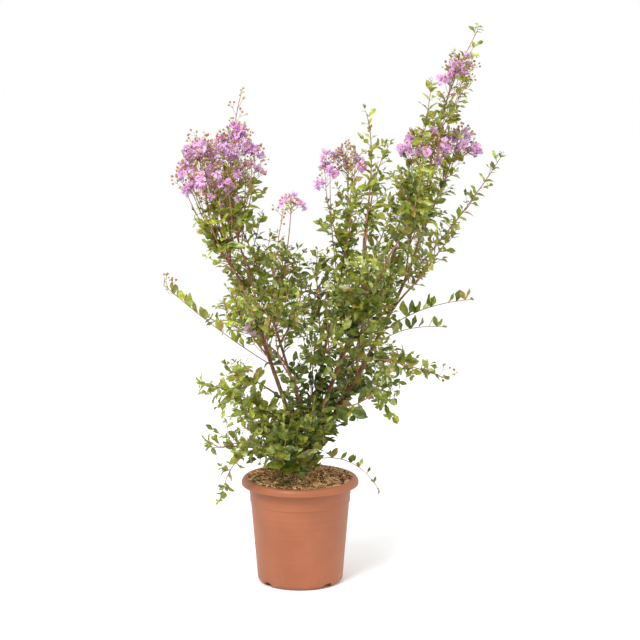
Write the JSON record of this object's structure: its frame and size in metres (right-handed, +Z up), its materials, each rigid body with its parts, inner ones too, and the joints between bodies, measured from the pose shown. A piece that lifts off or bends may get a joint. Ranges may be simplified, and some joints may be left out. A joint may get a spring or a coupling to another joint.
{
  "type": "potted crape myrtle",
  "caption": "Young multi-stemmed crape myrtle in flower, vase-shaped crown, standing in a round tapered plastic nursery pot filled with potting mix.",
  "frame": {"origin": "centre of the pot's flat underside, on the surface that it stands on", "axes": "+Z up along the pot's axis; +Y points away from the viewer of the picture, +X to the viewer's right"},
  "size_m": [0.8891, 0.5977, 1.4208],
  "materials": {
    "pot": "matte terracotta-coloured plastic",
    "potting_mix": "moist bark mulch",
    "bark": "thin reddish-brown bark",
    "foliage": "green leaves with lilac-pink flowers"
  },
  "bodies": {
    "root": {"back_centre_crown": "foliage", "back_left_crown": "foliage", "back_left_low_spray": "foliage", "back_right_crown": "foliage", "back_right_low_spray": "foliage", "back_right_stem": "bark", "back_skirt": "foliage", "back_stem": "bark", "centre_crown": "foliage", "centre_front_spray": "foliage", "centre_low_spray": "foliage", "centre_small_spray": "foliage", "centre_stem": "bark", "far_leader_bough": "bark", "far_leader_crown": "foliage", "far_low_bough": "bark", "far_side_flowers": "foliage", "far_stem": "bark", "front_crown": "foliage", "front_right_skirt": "foliage", "front_skirt": "foliage", "front_stem": "bark", "left_back_spray": "foliage", "left_bow_spray": "foliage", "left_centre_spray": "foliage", "left_front_spray": "foliage", "left_hanging_spray": "foliage", "left_inner_bough": "bark", "left_inner_crown": "foliage", "left_low_spray": "foliage", "left_low_upper_spray": "foliage", "left_outer_bough": "bark", "left_outer_crown": "foliage", "left_skirt": "foliage", "left_stem": "bark", "pot": "pot", "potting_mix": "potting_mix", "right_bough_spray": "foliage", "right_down_spray": "foliage", "right_front_spray": "foliage", "right_inner_spray": "foliage", "right_leader_bough": "bark", "right_leader_crown": "foliage", "right_low_crown": "foliage", "right_low_front_spray": "foliage", "right_mid_bough": "bark", "right_mid_crown": "foliage", "right_middle_spray": "foliage", "right_outer_crown": "foliage", "right_stem": "bark", "right_thin_back_spray": "foliage", "right_thin_spray": "foliage", "right_trailing_spray": "foliage", "right_twig_crown": "foliage", "trunk": "bark", "upper_twig_crown": "foliage"}
  },
  "joints": []
}
